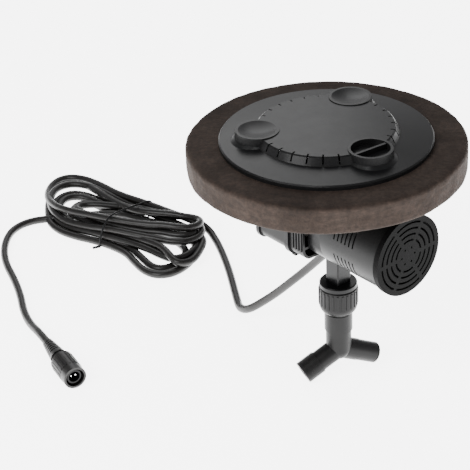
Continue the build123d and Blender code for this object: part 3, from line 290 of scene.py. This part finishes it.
# Each turn: its place at the back under the tie, its loose end, its place at the front, its fold
TURNS = [
    [(0, 31, 18.5), (-45, 40, 15), (-91, 54, 13), (-123, 64, 11), (-145, 62, 10), (-158, 50, 9),
     (-156, 30, 8), (-144, 8, 6), (-125, -14, 5), (-105, -33, 4.5), (-79, -42, 4), (-50, -41, 4),
     (-25, -36, 4), (0, -33.5, 4), (34, -36, 4), (58, -48, 4), (84, -59, 4), (105, -58, 4),
     (119, -43, 4), (122, -18, 4), (115, 10, 4), (98, 32, 4), (70, 42, 4)],
    [(0, 45, 4), (-45, 48, 4), (-85, 52, 4), (-112, 52, 5), (-132, 43, 6), (-138, 25, 6),
     (-131, 4, 6), (-114, -15, 6), (-91, -29, 6), (-61, -33, 7), (-30, -28, 9), (0, -28.5, 10.7),
     (40, -22, 9.5), (64, -23, 10), (86, -26, 10), (105, -24, 9), (114, -6, 9), (112, 16, 10),
     (99, 34, 9), (78, 38, 5), (48, 37, 4)],
    [(0, 34.5, 4), (-45, 39, 4), (-82, 43, 6), (-106, 41, 8), (-122, 30, 9), (-124, 14, 9),
     (-113, -4, 9), (-92, -18, 9), (-64, -24, 7), (-30, -23, 5), (0, -23, 4), (36, -25, 4),
     (62, -36, 4), (86, -46, 4), (102, -42, 4), (110, -20, 4), (104, 4, 4), (88, 18, 4),
     (60, 25, 4)],
    [(0, 24, 4), (-40, 28, 4), (-66, 34, 6), (-86, 34, 8), (-100, 20, 8), (-97, 2, 6), (-82, -8, 8),
     (-58, -14, 11), (-30, -17, 12), (0, -17.8, 10.7), (36, -15, 13), (60, -16, 15),
     (82, -18, 15.5), (102, -27, 14), (119, -33, 11), (128, -14, 9), (121, 12, 10), (110, 35, 11),
     (84, 46, 10.5), (48, 50, 10)],
    [(0, 51.5, 10.6), (-45, 54, 11), (-88, 60, 12), (-120, 62, 12), (-142, 53, 12), (-150, 36, 12),
     (-145, 16, 12), (-128, -6, 12), (-104, -22, 11), (-76, -30, 11), (-40, -27, 13),
     (0, -22, 17.4), (40, -14, 17), (64, -7, 16.5), (86, -2, 16), (104, 12, 16), (106, 34, 15),
     (92, 53, 15), (70, 58, 16), (40, 56, 17)],
    [(0, 57, 17.6), (-60, 60, 15), (-104, 73, 12), (-140, 80, 9), (-165, 73, 8), (-172, 53, 8),
     (-161, 26, 9), (-138, 1, 13), (-108, -16, 17), (-76, -22, 21), (-40, -17, 23), (0, -11, 23.8),
     (40, 1, 24), (62, 12, 24.5), (80, 18, 24), (95, 30, 23), (96, 47, 21.5), (83, 59, 19.5),
     (62, 57, 18), (34, 50, 16)],
    [(0, 44, 17.0), (-36, 38, 14), (-58, 31, 13), (-76, 25, 12), (-87, 15, 12), (-86, 2, 14),
     (-74, -6, 16), (-54, -10, 17), (-28, -11, 17.4), (0, -11.5, 17.2), (40, -1, 17), (62, 7, 18),
     (80, 11, 18), (95, 20, 17.5), (97, 33, 16), (83, 42, 14), (60, 39, 12), (34, 35, 11)],
]
TO_TAIL = [(0, 30, 11.0), (-34, 30, 9), (-62, 12, 8), (-82, -12, 8)]


def hank_points():
    points = [point for turn in TURNS for point in turn] + TO_TAIL
    return [in_hank(*point) for point in points]


BEVEL_STEPS = 6
STEPS_PER_POINT = 8


def round_curve(name, points, radius, finish):
    data = bpy.data.curves.new(name, "CURVE")
    data.dimensions = "3D"
    data.bevel_depth = radius
    data.bevel_resolution = BEVEL_STEPS
    data.use_fill_caps = True
    line = data.splines.new("NURBS")
    line.points.add(len(points) - 1)
    for point, place in zip(line.points, points):
        point.co = (*place, 1.0)
    line.order_u = 3
    line.use_endpoint_u = True
    line.resolution_u = STEPS_PER_POINT
    data.materials.append(finish)
    return new_object(name, data, "float")


# A wire tie drawn tight round the turns, its ends twisted together low at the front.
# The loop's points are millimetres across the hank and above the floor.
TIE_LOOP = [(-39.5, 6), (-39.5, 11), (-36, 18), (-30, 29), (-20, 37.5), (-8, 38.8), (14, 36),
            (38, 31.5), (52, 29.5), (62, 26), (63.5, 18), (59, 8), (51, 1.4), (40, 1.0),
            (-26, 1.0), (-38, 2.0), (-39.8, 9)]
TIE_ALONG = -6.0
TIE_SKEW = 0.06
TIE_R = 0.0013
TWIST_R = 0.0010
TWIST_POINTS = 22
TWIST_DEGREES = 75


def wire_tie():
    loop = [on_floor(TIE_ALONG + TIE_SKEW * across, across, height + 0.4) for across, height in TIE_LOOP]
    band = round_curve("tie_wire", loop, TIE_R, TIE)
    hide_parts("twist_tie")
    pieces = [band]
    for side in (0, 1):
        twist = []
        for k in range(TWIST_POINTS):
            angle = math.radians(TWIST_DEGREES * k + 180 * side)
            along = TIE_ALONG - 2 + math.cos(angle) - 0.25 * k
            twist.append(on_floor(along, -39.5 - 0.4 * k, 3.2 + math.sin(angle)))
        end = round_curve("tie_end_a" if side else "tie_end_b", twist, TWIST_R, TIE)
        pieces.append(end)
    return pieces


tie = wire_tie()
cable = round_curve("supply_cable", LEAD_ROUTE + hank_points() + TAIL_ROUTE, CABLE_R, CABLE)
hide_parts("cable_lead", "cable_hank", "cable_tail")


# ---------------------------------------------------------------- foam ring
FOAM_LOW, FOAM_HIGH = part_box("foam_ring")
FOAM_R = (FOAM_HIGH[0] - FOAM_LOW[0]) / 2
FOAM_H = FOAM_HIGH[2] - FOAM_LOW[2]
FOAM_BORE_R = 0.0922
REBATE_R = 0.1003
REBATE_H = 0.0032
UNDER_R = FOAM_R - 0.0030
TOP_R = FOAM_R - 0.0044
EVEN_R = 0.1130
AROUND = 720
SIDE_STEPS = 12
BROAD_GIVE, SMALL_GIVE, TINY_GIVE = 0.0011, 0.0005, 0.00018


def foam_ring():
    """A ring cut from sheet foam: a wavering outline, a soft worn top edge and dented faces.

    Each point of the profile is a radius, a height and how far the unevenness may move it.
    """
    profile = [(FOAM_BORE_R, REBATE_H, 0.0), (REBATE_R, REBATE_H, 0.0), (REBATE_R, 0.0, 0.0)]
    profile += [(REBATE_R + (UNDER_R - REBATE_R) * k / 5, 0.0, 0.4) for k in range(1, 6)]
    profile += [(FOAM_R - 0.0011, 0.0004, 1.0), (FOAM_R - 0.0003, 0.0014, 1.0)]
    profile += [(FOAM_R, 0.0014 + (FOAM_H - 0.0054) * k / SIDE_STEPS, 1.0)
                for k in range(1, SIDE_STEPS + 1)]
    profile += [(FOAM_R - 0.0004, FOAM_H - 0.0024, 1.0), (FOAM_R - 0.0013, FOAM_H - 0.0010, 1.0)]
    profile += [(FOAM_R - 0.0027, FOAM_H - 0.0003, 1.0), (TOP_R, FOAM_H, 0.8)]
    profile += [(TOP_R - (TOP_R - EVEN_R) * k / 12, FOAM_H, 0.6 - 0.5 * k / 12) for k in range(1, 13)]
    profile += [(FOAM_BORE_R, FOAM_H, 0.0)]
    mesh = bpy.data.meshes.new("foam_float")
    builder = bmesh.new()
    rows = []
    for k in range(AROUND):
        angle = 2 * math.pi * k / AROUND
        out = Vector((math.cos(angle), math.sin(angle), 0.0))
        row = []
        for radius, height, give in profile:
            place = out * radius + Vector((0, 0, height))
            broad = lumps.noise(Vector((out.x * 2.2, out.y * 2.2, height * 9)))
            small = lumps.noise(place * 70.0)
            tiny = lumps.noise(place * 260.0)
            dent = lumps.noise(place * 16.0 + Vector((3, 5, 7)))
            shift = give * (BROAD_GIVE * broad + SMALL_GIVE * small + TINY_GIVE * tiny)
            sag = give * (0.0007 * dent + 0.0003 * small - 0.0004)
            rise = Vector((0, 0, sag if height > 0.02 else 0.0))
            row.append(builder.verts.new(place + out * shift + rise))
        rows.append(row)
    for k in range(AROUND):
        here, there = rows[k], rows[(k + 1) % AROUND]
        for j in range(len(profile)):
            after = (j + 1) % len(profile)
            face = builder.faces.new((here[j], there[j], there[after], here[after]))
            face.smooth = True
    bmesh.ops.recalc_face_normals(builder, faces=builder.faces)
    builder.to_mesh(mesh)
    builder.free()
    mesh.materials.append(FOAM)
    ring = new_object("foam_float", mesh, "float")
    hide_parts("foam_ring")


foam_ring()


# ---------------------------------------------------------------- thread on the left branch
FORK = Vector((0.012, 0.0, -0.237))
FORK_TILT = math.radians(63.6)
FORK_AZ = math.radians(22.6)
THREAD_R = 0.0133
THREAD_FROM = 0.0292
THREAD_TO = 0.0506
THREAD_PITCH = 0.0016
THREAD_STEPS = 24
EASE_STEPS = 12
RIDGE_R = 0.00045
RIDGE_SIDES = 6


def branch_thread():
    """A fine raised thread, wound on the plain end of the branch."""
    way = Vector((-math.sin(FORK_TILT) * math.cos(FORK_AZ), -math.sin(FORK_TILT) * math.sin(FORK_AZ),
                  -math.cos(FORK_TILT)))
    side = way.cross(Vector((0, 0, 1))).normalized()
    other = way.cross(side)
    count = int((THREAD_TO - THREAD_FROM) / THREAD_PITCH * THREAD_STEPS)
    points = []
    for k in range(count + 1):
        angle = 2 * math.pi * k / THREAD_STEPS
        ease = min(1.0, k / EASE_STEPS, (count - k) / EASE_STEPS)
        reach = THREAD_R - 0.0004 * (1 - ease)
        spoke = side * math.cos(angle) + other * math.sin(angle)
        points.append(FORK + way * (THREAD_FROM + THREAD_PITCH * k / THREAD_STEPS) + spoke * reach)
    mesh = bpy.data.meshes.new("branch_thread")
    builder = bmesh.new()
    rows = []
    for place in points:
        out = place - FORK
        out = (out - way * out.dot(way)).normalized()
        row = []
        for j in range(RIDGE_SIDES):
            turn = math.radians(360 * j / RIDGE_SIDES)
            step = out * (RIDGE_R * math.cos(turn)) + way * (RIDGE_R * math.sin(turn))
            row.append(builder.verts.new(place + step))
        rows.append(row)
    for here, there in zip(rows, rows[1:]):
        for j in range(RIDGE_SIDES):
            after = (j + 1) % RIDGE_SIDES
            face = builder.faces.new((here[j], here[after], there[after], there[j]))
            face.smooth = True
    builder.faces.new(rows[0])
    builder.faces.new(rows[-1])
    bmesh.ops.recalc_face_normals(builder, faces=builder.faces)
    builder.to_mesh(mesh)
    builder.free()
    mesh.materials.append(PUMP_GREY)
    ridge = new_object("branch_thread", mesh, "outlet_fork")


branch_thread()


# ---------------------------------------------------------------- floor and light
FLOOR_HALF = 6.0
FLOOR_GLOW = 5.5
# Each light: its name, its place, what it points at, its size and its power
LIGHTS = (
    ("key", (-1.1, -0.9, 0.9), (-0.02, 0.0, -0.02), 0.9, 26.0),
    ("fill", (1.2, -1.3, 0.45), (0.0, 0.0, -0.08), 1.2, 5.0),
    ("strip", (-0.35, -0.9, 1.5), (-0.03, -0.05, 0.04), 0.25, 4.0),
    ("back", (-0.3, 1.6, 1.3), (0.0, 0.0, 0.0), 1.2, 14.0),
)


def floor_and_light():
    mesh = bpy.data.meshes.new("floor")
    builder = bmesh.new()
    bmesh.ops.create_grid(builder, x_segments=1, y_segments=1, size=FLOOR_HALF)
    builder.to_mesh(mesh)
    builder.free()
    floor = bpy.data.objects.new("floor", mesh)
    floor.location = (0, 0, FLOOR)
    bpy.context.scene.collection.objects.link(floor)
    made, tree, shader = material("floor", specular=0.2)
    white = ramp(tree, noise(tree, 3.0), [(0.3, (0.90, 0.90, 0.90)), (0.7, (0.92, 0.92, 0.92))])
    tree.links.new(white, shader.inputs["Base Color"])
    shader.inputs["Roughness"].default_value = 0.9
    shader.inputs["Emission Color"].default_value = (1, 1, 1, 1)
    shader.inputs["Emission Strength"].default_value = FLOOR_GLOW
    mesh.materials.append(made)
    world = bpy.data.worlds.new("world")
    bpy.context.scene.world = world
    world.use_nodes = True
    tree = world.node_tree
    sky = tree.nodes.new("ShaderNodeTexCoord")
    split = tree.nodes.new("ShaderNodeSeparateXYZ")
    tree.links.new(sky.outputs["Generated"], split.inputs["Vector"])
    dome = ramp(tree, split.outputs["Z"], [(0.0, (1.0, 1.0, 1.0)), (0.30, (0.82, 0.82, 0.83)),
                                           (0.60, (0.46, 0.46, 0.47)), (1.0, (0.42, 0.42, 0.43))])
    tree.links.new(dome, tree.nodes["Background"].inputs["Color"])
    tree.nodes["Background"].inputs["Strength"].default_value = 1.0
    for name, place, target, size, power in LIGHTS:
        light = bpy.data.lights.new(name, "AREA")
        light.size = size
        light.energy = power
        lamp = bpy.data.objects.new(name, light)
        lamp.location = place
        lamp.rotation_euler = (Vector(target) - Vector(place)).to_track_quat("-Z", "Y").to_euler()
        bpy.context.scene.collection.objects.link(lamp)


floor_and_light()
